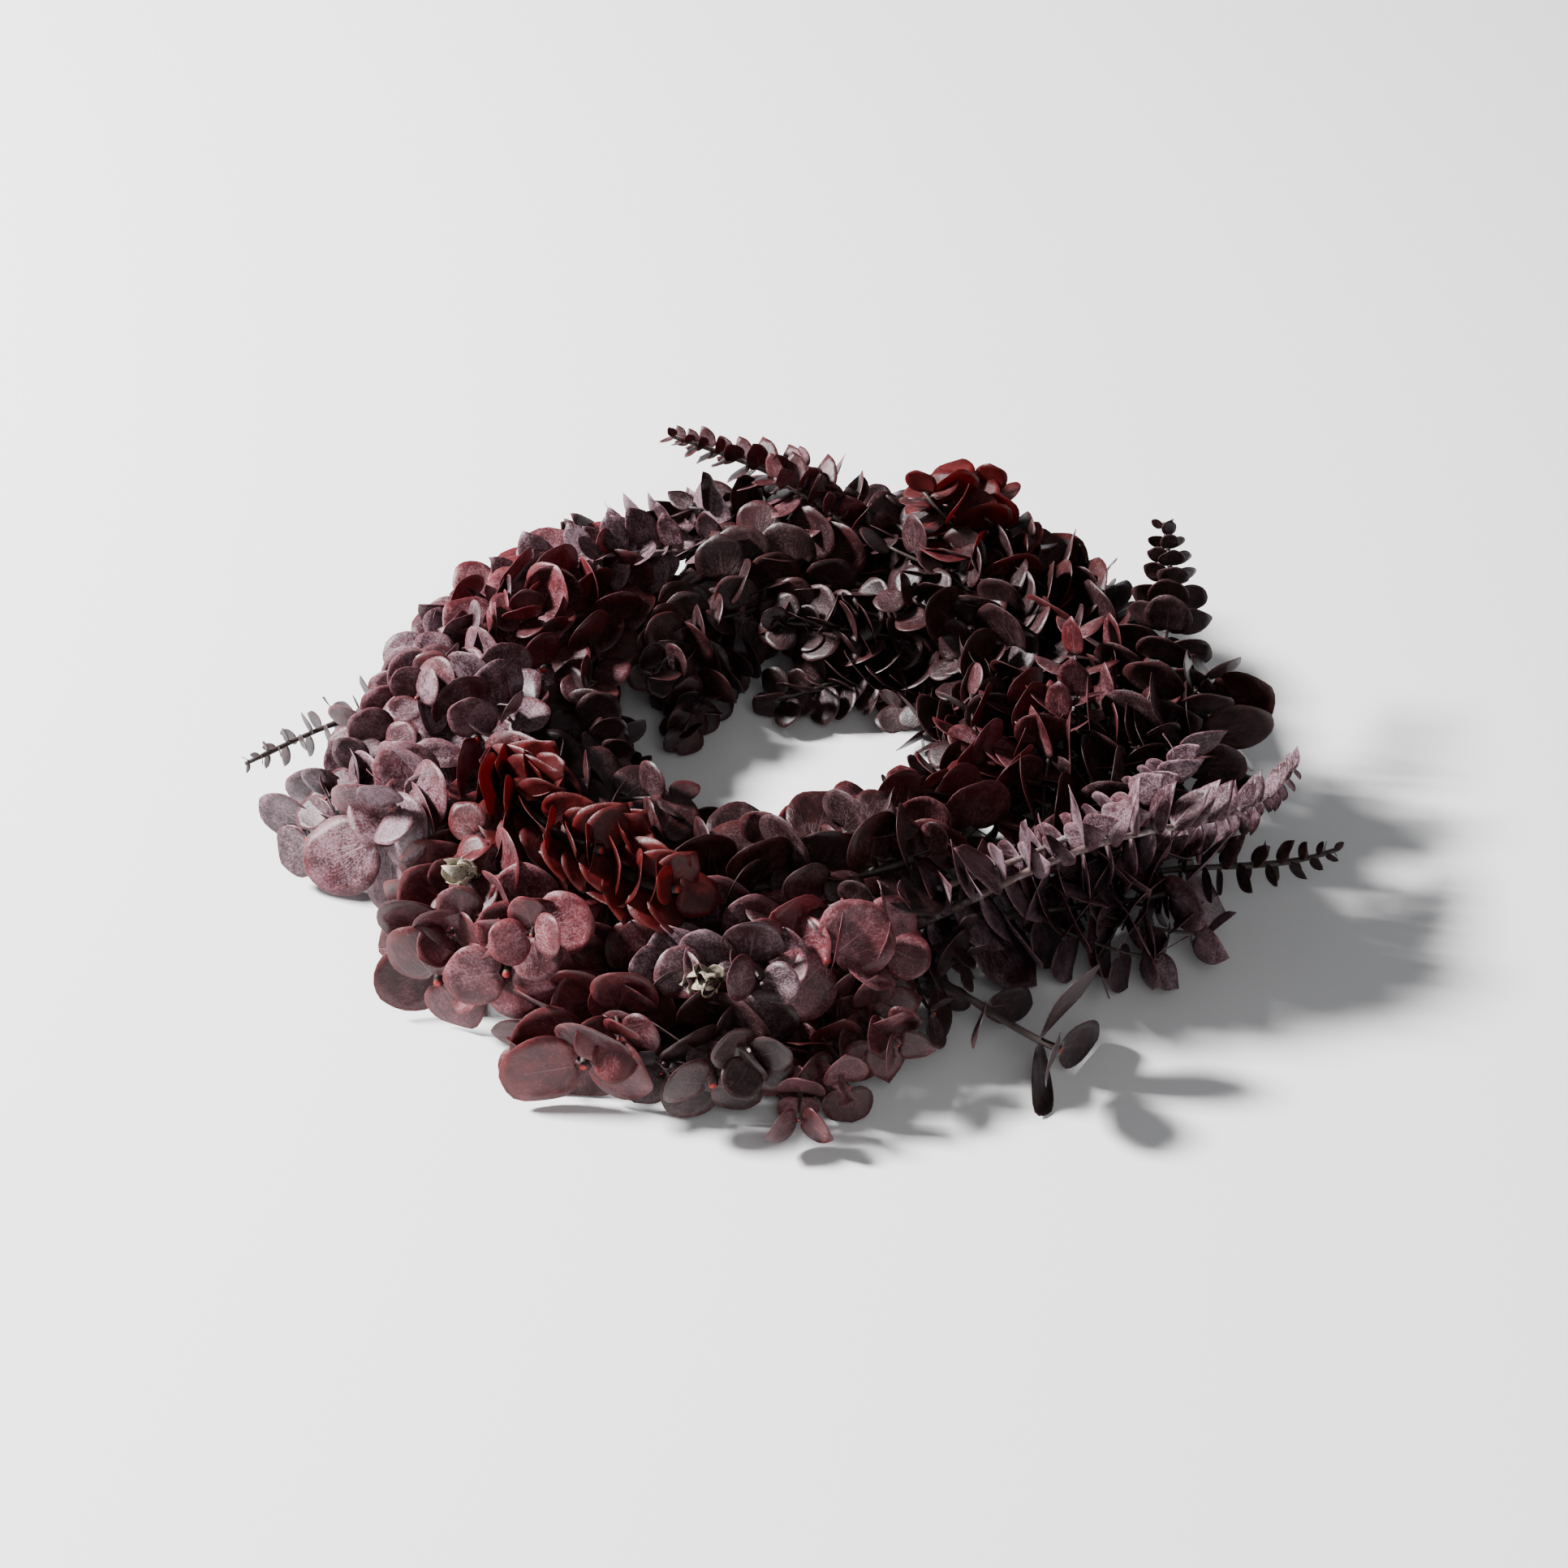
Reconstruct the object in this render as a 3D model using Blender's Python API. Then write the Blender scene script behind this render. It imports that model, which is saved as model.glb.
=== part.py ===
"""Harvest door wreath: eucalyptus sprigs bound with paddle wire onto a four-rail wire form.

The wreath lies on its back. +Z is out of the door, +Y is up the door, and the origin is on the
ring's own axis in the plane that the back rests on. Angles run anticlockwise seen from +Z, which
is also the way that every sprig points round the ring.
"""

import math
from collections import namedtuple

import bmesh
import bpy
import numpy as np

# ---- driving dimensions, in metres ------------------------------------------------------------
FORM_OUTER_RADIUS = 0.152  # a 12 inch wreath form
FORM_INNER_RADIUS = 0.108
BACK_OUTER_RADIUS = 0.140
BACK_INNER_RADIUS = 0.120
BACK_RAIL_HEIGHT = 0.0062
FRONT_RAIL_HEIGHT = 0.018
RAIL_WIRE = 0.0015  # wire sizes are radii
BRACE_WIRE = 0.00125
BINDING_WIRE = 0.0005
CLEARANCE = 0.0003  # the gap that touching pieces keep
RAIL_POINTS = 48

CORE_RADIUS = (FORM_OUTER_RADIUS + FORM_INNER_RADIUS) / 2
CORE_HEIGHT = 0.0225
WINDING_HALF_WIDTH = 0.0265
WINDING_HALF_HEIGHT = 0.0215
WINDING_TURNS = 24
WINDING_PITCH = 360 / WINDING_TURNS
WINDING_START = -WINDING_PITCH / 4
POINTS_PER_TURN = 12

FIRST_BRACE = 15
BRACES = 6

HANGER_LENGTH = 0.040
HANGER_HALF_WIDTH = 0.0105
HANGER_WIRE = 0.0008
HANGER_EYE = RAIL_WIRE + 0.0005 + HANGER_WIRE
HANGER_EYE_OFFSET = 0.0035
HANGER_EYE_WIDTH = 2 * HANGER_WIRE + CLEARANCE

STEM_BUTT_RADIUS = 0.0016
STEM_TIP_RADIUS = 0.0009
STEM_START = 0.006  # how far from the core's centre a butt lies
STEM_POINTS = 60  # fine points by which a stem's curve is measured
LEAF_HALF_THICKNESS = 0.0011
SMALLEST_LEAF = 0.006
LEAF_GAP = 0.0012  # what leaves keep clear of everything else
STAGE_SPACING = 0.026  # distance between the leaf stages modelled on a sprig
HOLE_RADIUS = 0.064
FLOOR_GAP = 0.0003

# ---- the sprigs -------------------------------------------------------------------------------
# turn: the turn of binding wire after which the stem leaves the core. angle, radius, height: the
# tip, in degrees and metres. arch: how far the middle of the stem stands above a straight rise.
# leaf, tip_leaf: how far leaves reach from the stem, low on the sprig and at its tip.
Sprig = namedtuple("Sprig", "name turn angle radius height arch leaf tip_leaf")
SPRIGS = [
    # outer side, low
    Sprig("sprig_outer_low_01", 0, 52, 0.186, 0.030, 0.005, 0.026, 0.018),
    Sprig("sprig_outer_low_02", 3, 94, 0.204, 0.0195, 0.005, 0.026, 0.0205),
    Sprig("sprig_outer_low_03", 6, 145, 0.178, 0.022, 0.005, 0.026, 0.018),
    Sprig("sprig_left_tip", 11, 186, 0.239, 0.034, 0.004, 0.020, 0.006),
    Sprig("sprig_outer_low_04", 12, 200, 0.218, 0.030, 0.005, 0.027, 0.021),
    Sprig("sprig_outer_low_05", 14, 229, 0.216, 0.026, 0.006, 0.030, 0.024),
    Sprig("sprig_outer_low_06", 16, 249, 0.222, 0.0198, 0.006, 0.031, 0.027),
    Sprig("sprig_outer_low_07", 17, 263, 0.222, 0.022, 0.006, 0.030, 0.018),
    Sprig("sprig_outer_low_08", 18, 277, 0.220, 0.0185, 0.006, 0.030, 0.024),
    Sprig("sprig_stray_twig", 19, 300, 0.228, 0.0205, 0.006, 0.018, 0.0225),
    Sprig("sprig_outer_low_09", 20, 327, 0.206, 0.036, 0.006, 0.028, 0.020),
    Sprig("sprig_right_tip", 21, 341, 0.254, 0.032, 0.010, 0.022, 0.006),
    # outer side, high
    Sprig("sprig_outer_high_01", 1, 62, 0.164, 0.046, 0.006, 0.028, 0.018),
    Sprig("sprig_outer_high_02", 4, 110, 0.160, 0.044, 0.006, 0.028, 0.018),
    Sprig("sprig_outer_high_03", 7, 158, 0.160, 0.044, 0.006, 0.028, 0.020),
    Sprig("sprig_outer_high_04", 9, 180, 0.165, 0.046, 0.008, 0.028, 0.018),
    Sprig("sprig_outer_high_05", 11, 195, 0.178, 0.058, 0.006, 0.028, 0.014),
    Sprig("sprig_outer_high_06", 13, 210, 0.198, 0.050, 0.006, 0.031, 0.029),
    Sprig("sprig_outer_high_07", 15, 227, 0.186, 0.062, 0.006, 0.030, 0.016),
    Sprig("sprig_outer_high_08", 15, 238, 0.210, 0.044, 0.006, 0.030, 0.024),
    Sprig("sprig_outer_high_09", 17, 261, 0.190, 0.050, 0.006, 0.029, 0.018),
    Sprig("sprig_outer_high_10", 18, 276, 0.184, 0.056, 0.006, 0.030, 0.026),
    Sprig("sprig_right_long", 19, 347, 0.230, 0.054, 0.034, 0.026, 0.008),
    Sprig("sprig_outer_high_11", 21, 358, 0.196, 0.052, 0.008, 0.027, 0.014),
    Sprig("sprig_upper_right_tip", 22, 383, 0.190, 0.096, 0.002, 0.027, 0.006),
    # front of the ring
    Sprig("sprig_top_cluster", 2, 60, 0.148, 0.080, 0.004, 0.026, 0.016),
    Sprig("sprig_top_01", 1, 67, 0.136, 0.056, 0.008, 0.027, 0.018),
    Sprig("sprig_upper_left_tip", 4, 110, 0.152, 0.100, 0.002, 0.026, 0.006),
    Sprig("sprig_top_02", 6, 136, 0.140, 0.056, 0.006, 0.026, 0.012),
    Sprig("sprig_top_03", 8, 165, 0.138, 0.056, 0.006, 0.028, 0.018),
    Sprig("sprig_top_04", 11, 203, 0.142, 0.070, 0.006, 0.028, 0.018),
    Sprig("sprig_backlit_left", 13, 243, 0.160, 0.080, 0.014, 0.030, 0.018),
    Sprig("sprig_backlit_right", 15, 256, 0.170, 0.078, 0.012, 0.029, 0.016),
    Sprig("sprig_top_05", 16, 292, 0.146, 0.070, 0.006, 0.030, 0.022),
    Sprig("sprig_top_06", 18, 336, 0.186, 0.080, 0.010, 0.028, 0.016),
    Sprig("sprig_top_07", 21, 366, 0.150, 0.066, 0.006, 0.028, 0.018),
    # inner side
    Sprig("sprig_inner_high_01", 0, 48, 0.108, 0.056, 0.004, 0.026, 0.018),
    Sprig("sprig_inner_high_02", 4, 107, 0.096, 0.050, 0.004, 0.026, 0.018),
    Sprig("sprig_inner_high_03", 8, 172, 0.108, 0.056, 0.004, 0.026, 0.018),
    Sprig("sprig_inner_high_04", 13, 246, 0.121, 0.060, 0.006, 0.027, 0.020),
    Sprig("sprig_inner_high_05", 17, 305, 0.119, 0.058, 0.006, 0.026, 0.018),
    Sprig("sprig_inner_high_06", 20, 356, 0.108, 0.056, 0.004, 0.026, 0.018),
    Sprig("sprig_inner_low_01", 2, 69, 0.074, 0.025, 0.004, 0.024, 0.018),
    Sprig("sprig_inner_low_02", 6, 129, 0.074, 0.025, 0.004, 0.024, 0.018),
    Sprig("sprig_inner_low_03", 10, 192, 0.088, 0.030, 0.004, 0.024, 0.018),
    Sprig("sprig_inner_low_04", 14, 252, 0.088, 0.030, 0.004, 0.024, 0.018),
    Sprig("sprig_inner_low_05", 18, 312, 0.088, 0.030, 0.004, 0.024, 0.018),
    Sprig("sprig_inner_low_06", 22, 372, 0.088, 0.030, 0.004, 0.024, 0.018),
]


# ---- places round the ring --------------------------------------------------------------------
def ring_point(angle, radius, height):
    """A point from its angle round the ring in degrees, its distance from the axis and its height."""
    turn = math.radians(angle)
    return np.array([radius * math.cos(turn), radius * math.sin(turn), height])


def section_path(sprig):
    """How a stem moves across the ring's section from its butt to its tip: distances and heights."""
    share = np.linspace(0, 1, STEM_POINTS + 1)
    rise = sprig.height - CORE_HEIGHT
    reach = sprig.radius - CORE_RADIUS
    start = STEM_START / math.hypot(reach, rise)
    out = start + (1 - start) * share
    bump = sprig.arch * np.sin(math.pi * share) ** 2
    return share, CORE_RADIUS + reach * out, CORE_HEIGHT + rise * out + bump


def stem_curve(sprig):
    """The stem's centreline as fine points, and the share of it that the binding wire covers.

    The stem leaves the core half-way between two turns of the binding wire.
    """
    share, radius, height = section_path(sprig)
    across = (radius - CORE_RADIUS) / WINDING_HALF_WIDTH
    along = (height - CORE_HEIGHT) / WINDING_HALF_HEIGHT
    bound = float(np.interp(1, np.hypot(across, along), share))
    turned = math.atan2(float(np.interp(bound, share, along)), float(np.interp(bound, share, across)))
    leaves_at = WINDING_START + WINDING_PITCH * (sprig.turn + 0.5 + turned / (2 * math.pi))
    butt_angle = (leaves_at - bound * sprig.angle) / (1 - bound)
    angle = butt_angle + (sprig.angle - butt_angle) * share
    return np.array([ring_point(*place) for place in zip(angle, radius, height)]), bound


def curve_length(points):
    """Length of a line of points."""
    return float(np.linalg.norm(np.diff(points, axis=0), axis=1).sum())


def along_curve(points, shares):
    """Points and directions at shares of a curve's length."""
    steps = np.linalg.norm(np.diff(points, axis=0), axis=1)
    travelled = np.concatenate([[0], np.cumsum(steps)]) / steps.sum()
    shares = np.asarray(shares, dtype=float)
    places, ahead, behind = (
        np.array([np.interp(at, travelled, points[:, axis]) for axis in range(3)]).T
        for at in (shares, shares + 0.01, shares - 0.01)
    )
    directions = ahead - behind
    return places, directions / np.linalg.norm(directions, axis=1)[:, None]


def rail_points(radius, height, count):
    """Points round one rail of the form."""
    return np.array([ring_point(360 * step / count, radius, height) for step in range(count)])


def brace_points(angle):
    """A cross wire: it hangs from both front rails and passes under both back rails."""
    under = BACK_RAIL_HEIGHT - RAIL_WIRE - BRACE_WIRE - CLEARANCE - 0.0001
    hung = FRONT_RAIL_HEIGHT - RAIL_WIRE - BRACE_WIRE - CLEARANCE
    half = (FORM_OUTER_RADIUS - FORM_INNER_RADIUS) / 2
    flat = half - 0.009
    side = [(flat, under), (flat + 0.0045, under + 0.002), (half - 0.0015, under + 0.007), (half, hung)]
    profile = [(-across, height) for across, height in reversed(side)] + side
    return np.array([ring_point(angle, CORE_RADIUS + across, height) for across, height in profile])


def winding_points(per_turn):
    """The binding wire: one helix round the form and the stems, turn after turn round the ring."""
    points = []
    for step in range(per_turn * WINDING_TURNS - 3):
        turns = (step + 1) / per_turn
        direction = 2 * math.pi * turns
        radius = CORE_RADIUS + WINDING_HALF_WIDTH * math.cos(direction)
        height = CORE_HEIGHT + WINDING_HALF_HEIGHT * math.sin(direction)
        points.append(ring_point(WINDING_START + WINDING_PITCH * turns, radius, height))
    return np.array(points)


def hanger_side():
    """Half of the hanging loop: an eye round the outer back rail, a leg, and half of the bow."""
    points = []
    for step in range(12):
        turn = math.radians(450 - 30 * step)
        drift = HANGER_EYE_WIDTH * (1 - step / 11)
        points.append((HANGER_EYE_OFFSET + drift, HANGER_EYE * math.cos(turn), HANGER_EYE * math.sin(turn)))
    bow = HANGER_HALF_WIDTH
    bow_centre = HANGER_LENGTH - bow
    points.append((HANGER_EYE_OFFSET, 0.002, HANGER_EYE))
    points.append((HANGER_EYE_OFFSET + 0.002, 0.010, HANGER_EYE * 0.7))
    points.append((bow * 0.85, bow_centre * 0.7, HANGER_EYE * 0.15))
    for step in range(6):
        turn = math.radians(15 * step)
        points.append((bow * math.cos(turn), bow_centre + bow * math.sin(turn), 0))
    return points


def hanger_points():
    """The hanging loop, flat against the back, pointing up the door."""
    side = hanger_side()
    far = [(-across, out, height) for across, out, height in reversed(side)]
    whole = side + [(0, HANGER_LENGTH, 0)] + far
    rail = np.array([0, BACK_OUTER_RADIUS, BACK_RAIL_HEIGHT])
    return rail + np.array(whole)


# ---- leaf stages fitted between their neighbours -------------------------------------------------
Stage = namedtuple("Stage", "sprig share centre normal wanted")


def wanted_stages(sprig, points, bound):
    """The leaf stages of one sprig, each a disc across the stem as wide as its pair of leaves."""
    first = bound + 0.10
    count = max(3, round(curve_length(points) * (0.985 - first) / STAGE_SPACING) + 1)
    shares = np.linspace(first, 0.985, count)
    centres, normals = along_curve(points, shares)
    widths = np.interp(shares, [first, 0.55, 1], [sprig.leaf * 0.9, sprig.leaf, sprig.tip_leaf])
    return [Stage(sprig.name, *values) for values in zip(shares, centres, normals, widths)]


def clear_of_floor_and_hole(stage):
    """The widest disc at a stage that stays above the back plane and out of the centre hole."""
    tilt = math.sqrt(max(1e-6, 1 - stage.normal[2] ** 2))
    room = (stage.centre[2] - FLOOR_GAP - LEAF_HALF_THICKNESS * abs(stage.normal[2])) / tilt
    limit = min(stage.wanted, room)
    from_axis = math.hypot(stage.centre[0], stage.centre[1])
    if from_axis - limit < HOLE_RADIUS:
        rim = disc_samples(stage, 1.0, (1.0,)) - stage.centre
        while limit > 0.002 and np.hypot(*(stage.centre + rim * limit)[:, :2].T).min() < HOLE_RADIUS:
            limit -= 0.0005
    return limit


def disc_samples(stage, radius, rings=(1.0, 0.75, 0.5, 0.25)):
    """Points over a disc."""
    side = np.cross(stage.normal, (0.0, 0.0, 1.0))
    side /= np.linalg.norm(side)
    other = np.cross(stage.normal, side)
    turns = np.linspace(0, 2 * math.pi, 24, endpoint=False)
    rim = np.outer(np.cos(turns), side) + np.outer(np.sin(turns), other)
    return np.concatenate([stage.centre + rim * radius * ring for ring in rings])


def clear_of_wires(stage, limit, places, sizes):
    """The widest disc at a stage that keeps clear of points on stems and wires."""
    offset = places - stage.centre
    along = np.abs(offset @ stage.normal)
    across = np.sqrt(np.maximum(0, (offset**2).sum(axis=1) - along**2))
    near = along < sizes + LEAF_HALF_THICKNESS + LEAF_GAP
    if near.any():
        limit = min(limit, float((across - sizes - LEAF_GAP)[near].min()))
    return limit


def discs_meet(one, one_radius, other, other_radius):
    """Whether two discs come nearer than the gap that leaves keep."""
    for this, radius, that, that_radius in (
        (one, one_radius, other, other_radius),
        (other, other_radius, one, one_radius),
    ):
        offset = disc_samples(that, that_radius) - this.centre
        along = np.abs(offset @ this.normal)
        across = np.sqrt(np.maximum(0, (offset**2).sum(axis=1) - along**2))
        if np.any((along < 2 * LEAF_HALF_THICKNESS + LEAF_GAP) & (across < radius + LEAF_GAP)):
            return True
    return False


def fit_stages(stages, wires):
    """Shrink the discs until none meets a wire, a stem, another sprig's disc, the floor or the hole."""
    radii = []
    for stage in stages:
        limit = clear_of_floor_and_hole(stage)
        for owner, places, sizes in wires:
            if owner != stage.sprig:
                limit = clear_of_wires(stage, limit, places, sizes)
        radii.append(max(0.0, limit))
    pairs = [
        (low, high)
        for low in range(len(stages))
        for high in range(low + 1, len(stages))
        if np.linalg.norm(stages[low].centre - stages[high].centre) < radii[low] + radii[high] + 0.004
    ]
    while pairs:
        meeting = [
            (low, high)
            for low, high in pairs
            if min(radii[low], radii[high]) > SMALLEST_LEAF / 2
            and discs_meet(stages[low], radii[low], stages[high], radii[high])
        ]
        for low, high in meeting:
            wider = low if radii[low] > radii[high] else high
            radii[wider] *= 0.93
            radii[low] = 0.97 * radii[low]
            radii[high] = 0.97 * radii[high]
        pairs = meeting
    return radii


# ---- solids ------------------------------------------------------------------------------------
def new_collection(name):
    """A collection linked to the scene."""
    collection = bpy.data.collections.new(name)
    bpy.context.scene.collection.children.link(collection)
    return collection


def material(name, colour, roughness, metallic=0.0):
    """A plain Principled material."""
    made = bpy.data.materials.new(name)
    made.use_nodes = True
    shader = made.node_tree.nodes["Principled BSDF"]
    shader.inputs["Base Color"].default_value = (*colour, 1)
    shader.inputs["Roughness"].default_value = roughness
    shader.inputs["Metallic"].default_value = metallic
    made.diffuse_color = (*colour, 1)
    return made


def wire(name, points, sizes, sides, finish, collection, closed=False):
    """A round wire or stem through points, with its radius at each."""
    curve = bpy.data.curves.new(name, "CURVE")
    curve.dimensions = "3D"
    curve.bevel_depth = 1.0
    curve.bevel_resolution = (sides - 4) // 2
    curve.use_fill_caps = not closed
    spline = curve.splines.new("POLY")
    spline.points.add(len(points) - 1)
    for spot, place, size in zip(spline.points, points, sizes):
        spot.co = (*place, 1)
        spot.radius = size
    spline.use_cyclic_u = closed
    curve.materials.append(finish)
    piece = bpy.data.objects.new(name, curve)
    collection.objects.link(piece)
    return piece


def even_wire(name, points, size, sides, finish, collection, closed=False):
    """A wire of one size."""
    return wire(name, points, [size] * len(points), sides, finish, collection, closed)


def sprig_profile(points, stages, radii):
    """Places and radii along a sprig: the stem, widened to a lens at each leaf stage."""
    length = curve_length(points)
    kept = [(stage.share, radius) for stage, radius in zip(stages, radii) if radius >= SMALLEST_LEAF]
    thin = LEAF_HALF_THICKNESS / length
    stops = {0.0: None, 1.0: None}
    shares = [share for share, radius in kept]
    first = shares[0] if shares else 1.0
    for share in np.linspace(0, first - 2 * thin, 6)[1:-1]:
        stops[float(share)] = None
    for share, radius in kept:
        stops[share - thin] = None
        stops[share] = radius
        stops[min(share + thin, 0.998)] = None
    gaps = list(zip(shares, shares[1:]))
    for low, high in gaps:
        stops[(low + high) / 2] = None
    ordered = sorted(stops)
    places, _ = along_curve(points, ordered)
    stem = np.interp(ordered, [0, 1], [STEM_BUTT_RADIUS, STEM_TIP_RADIUS])
    sizes = [stops[share] if stops[share] else float(size) for share, size in zip(ordered, stem)]
    return places, sizes


def as_mesh(piece, collection):
    """The piece as a mesh with its own single body."""
    depsgraph = bpy.context.evaluated_depsgraph_get()
    mesh = bpy.data.meshes.new_from_object(piece.evaluated_get(depsgraph))
    work = bmesh.new()
    work.from_mesh(mesh)
    bmesh.ops.remove_doubles(work, verts=work.verts, dist=1e-6)
    bmesh.ops.recalc_face_normals(work, faces=work.faces)
    work.to_mesh(mesh)
    work.free()
    name = piece.name
    bpy.data.objects.remove(piece)
    solid = bpy.data.objects.new(name, mesh)
    mesh.name = name
    collection.objects.link(solid)
    return solid


# ---- the wreath ----------------------------------------------------------------------------------
def clear_scene():
    """Remove whatever the scene holds."""
    for thing in list(bpy.data.objects):
        bpy.data.objects.remove(thing)


def build_form(collection, finish):
    """The wire form: four rails and the cross wires that join them."""
    rails = [
        ("inner_front_rail", FORM_INNER_RADIUS, FRONT_RAIL_HEIGHT),
        ("outer_front_rail", FORM_OUTER_RADIUS, FRONT_RAIL_HEIGHT),
        ("inner_back_rail", BACK_INNER_RADIUS, BACK_RAIL_HEIGHT),
        ("outer_back_rail", BACK_OUTER_RADIUS, BACK_RAIL_HEIGHT),
    ]
    for name, radius, height in rails:
        even_wire(name, rail_points(radius, height, RAIL_POINTS), RAIL_WIRE, 6, finish, collection, True)
    for number in range(BRACES):
        angle = FIRST_BRACE + 360 * number / BRACES
        even_wire(f"cross_wire_{number + 1}", brace_points(angle), BRACE_WIRE, 6, finish, collection)


def wires_to_avoid(curves):
    """Every stem and wire as an owner, fine points and radii."""
    wires = []
    for sprig, points, _ in curves:
        fine, _ = along_curve(points, np.linspace(0, 1, round(curve_length(points) / 0.0015)))
        wires.append((sprig.name, fine, np.linspace(STEM_BUTT_RADIUS, STEM_TIP_RADIUS, len(fine))))
    for radius in (FORM_INNER_RADIUS, FORM_OUTER_RADIUS):
        wires.append(("rail", rail_points(radius, FRONT_RAIL_HEIGHT, 480), RAIL_WIRE))
    for radius in (BACK_INNER_RADIUS, BACK_OUTER_RADIUS):
        wires.append(("rail", rail_points(radius, BACK_RAIL_HEIGHT, 480), RAIL_WIRE))
    for number in range(BRACES):
        points = brace_points(FIRST_BRACE + 360 * number / BRACES)
        wires.append(("brace", along_curve(points, np.linspace(0, 1, 60))[0], BRACE_WIRE))
    wires.append(("binding", winding_points(90), BINDING_WIRE))
    hanger = hanger_points()
    wires.append(("hanger", along_curve(hanger, np.linspace(0, 1, 160))[0], HANGER_WIRE))
    return wires


def build_sprigs(collection, finish):
    """Every sprig, with leaf stages as wide as their neighbours leave room for."""
    curves = [(sprig, *stem_curve(sprig)) for sprig in SPRIGS]
    stages = [stage for sprig, points, bound in curves for stage in wanted_stages(sprig, points, bound)]
    radii = fit_stages(stages, wires_to_avoid(curves))
    for sprig, points, _ in curves:
        own = [index for index, stage in enumerate(stages) if stage.sprig == sprig.name]
        places, sizes = sprig_profile(points, [stages[i] for i in own], [radii[i] for i in own])
        wire(sprig.name, places, sizes, 6, finish, collection)


def main():
    """Build the whole wreath."""
    clear_scene()
    wreath = new_collection("harvest_door_wreath")
    form_paint = material("form_wire", (0.02, 0.035, 0.02), 0.45, 0.3)
    binding_steel = material("binding_wire", (0.03, 0.05, 0.03), 0.4, 0.3)
    hanger_steel = material("hanger_wire", (0.35, 0.35, 0.33), 0.4, 1.0)
    foliage = material("eucalyptus", (0.11, 0.035, 0.045), 0.7)
    build_form(wreath, form_paint)
    even_wire("binding_wire", winding_points(POINTS_PER_TURN), BINDING_WIRE, 4, binding_steel, wreath)
    even_wire("hanger", hanger_points(), HANGER_WIRE, 6, hanger_steel, wreath)
    build_sprigs(wreath, foliage)
    bpy.context.view_layer.update()
    for piece in list(wreath.objects):
        as_mesh(piece, wreath)


main()
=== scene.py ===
# %% [markdown]
# # Harvest door wreath
# A round wreath of preserved eucalyptus: burgundy sprigs bound with paddle wire onto a wire form.
# It lies on its back, so +Z points out of the door and +Y points up the door. The form, the
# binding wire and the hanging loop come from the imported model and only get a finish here. Each
# plain sprig solid is replaced by a stem and its leaves, grown along the same line.
#
# Leaves could be scattered over a ring, but then they would float. A wreath looks like a wreath
# because every leaf hangs on a stem, and every stem comes out of the binding.

import math
import random
from collections import namedtuple

import bmesh
import bpy
from mathutils import Matrix, Vector


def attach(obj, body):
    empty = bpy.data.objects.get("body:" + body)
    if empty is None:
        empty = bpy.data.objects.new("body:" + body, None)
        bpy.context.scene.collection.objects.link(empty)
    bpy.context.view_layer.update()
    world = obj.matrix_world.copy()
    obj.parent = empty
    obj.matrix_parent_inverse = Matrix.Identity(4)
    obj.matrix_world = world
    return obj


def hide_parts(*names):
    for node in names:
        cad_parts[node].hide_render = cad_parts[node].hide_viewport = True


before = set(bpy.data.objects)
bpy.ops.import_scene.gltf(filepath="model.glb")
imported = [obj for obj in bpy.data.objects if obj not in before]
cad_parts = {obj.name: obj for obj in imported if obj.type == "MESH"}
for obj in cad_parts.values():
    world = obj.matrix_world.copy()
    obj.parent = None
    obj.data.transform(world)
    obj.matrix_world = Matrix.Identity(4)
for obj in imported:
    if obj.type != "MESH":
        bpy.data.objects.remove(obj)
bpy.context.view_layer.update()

# %% [markdown]
# ## The camera
# The camera looks down at the lying wreath from the front. A wide lens close by would swell the
# front leaves, so it stands back and uses a long lens. Turning it by angles is easy to get wrong:
# `to_track_quat` gives the turn that points its lens at a place.

# %% Camera
CAMERA_RISE = math.radians(38)
CAMERA_DISTANCE = 1.5
CAMERA_LENS = 75.5
CAMERA_AIM = Vector((0.0015, 0, 0.003))


def aimed(thing, place, aim):
    """Put a lamp or a camera at a place and turn it towards a point."""
    thing.location = place
    thing.rotation_euler = (Vector(aim) - Vector(place)).to_track_quat("-Z", "Y").to_euler()


camera = bpy.data.objects.new("camera", bpy.data.cameras.new("camera"))
bpy.context.scene.collection.objects.link(camera)
camera.data.lens = CAMERA_LENS
camera.data.sensor_width = 36
behind = Vector((0, math.cos(CAMERA_RISE), -math.sin(CAMERA_RISE)))
aimed(camera, CAMERA_AIM - CAMERA_DISTANCE * behind, CAMERA_AIM)
bpy.context.scene.camera = camera
print("camera at", [round(value, 3) for value in camera.location])

# %% [markdown]
# ## The light and the table
# Dark leaves need light from one side, or they merge into a black ring. A broad lamp from the left
# gives them their shape, a weak one from the front opens the shadows a little, and a weak sky
# keeps the rest deep. The table is one flat sheet of pale paper, wide enough to fill every view.

# %% Lamps, sky and table
def lamp(name, place, power, size, colour):
    """A square lamp that shines at the wreath."""
    light = bpy.data.lights.new(name, "AREA")
    light.energy = power
    light.size = size
    light.color = colour
    made = bpy.data.objects.new(name, light)
    bpy.context.scene.collection.objects.link(made)
    aimed(made, place, (0, 0, 0.03))


lamp("window_lamp", (-2.4, 0.3, 2.0), 470, 0.55, (0.99, 0.98, 1.0))
lamp("fill_lamp", (0.3, -1.3, 1.1), 5, 0.8, (0.97, 0.98, 1.0))

sky = bpy.data.worlds.new("studio")
sky.use_nodes = True
sky.node_tree.nodes["Background"].inputs["Color"].default_value = (0.95, 0.97, 1, 1)
sky.node_tree.nodes["Background"].inputs["Strength"].default_value = 0.15
bpy.context.scene.world = sky

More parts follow.
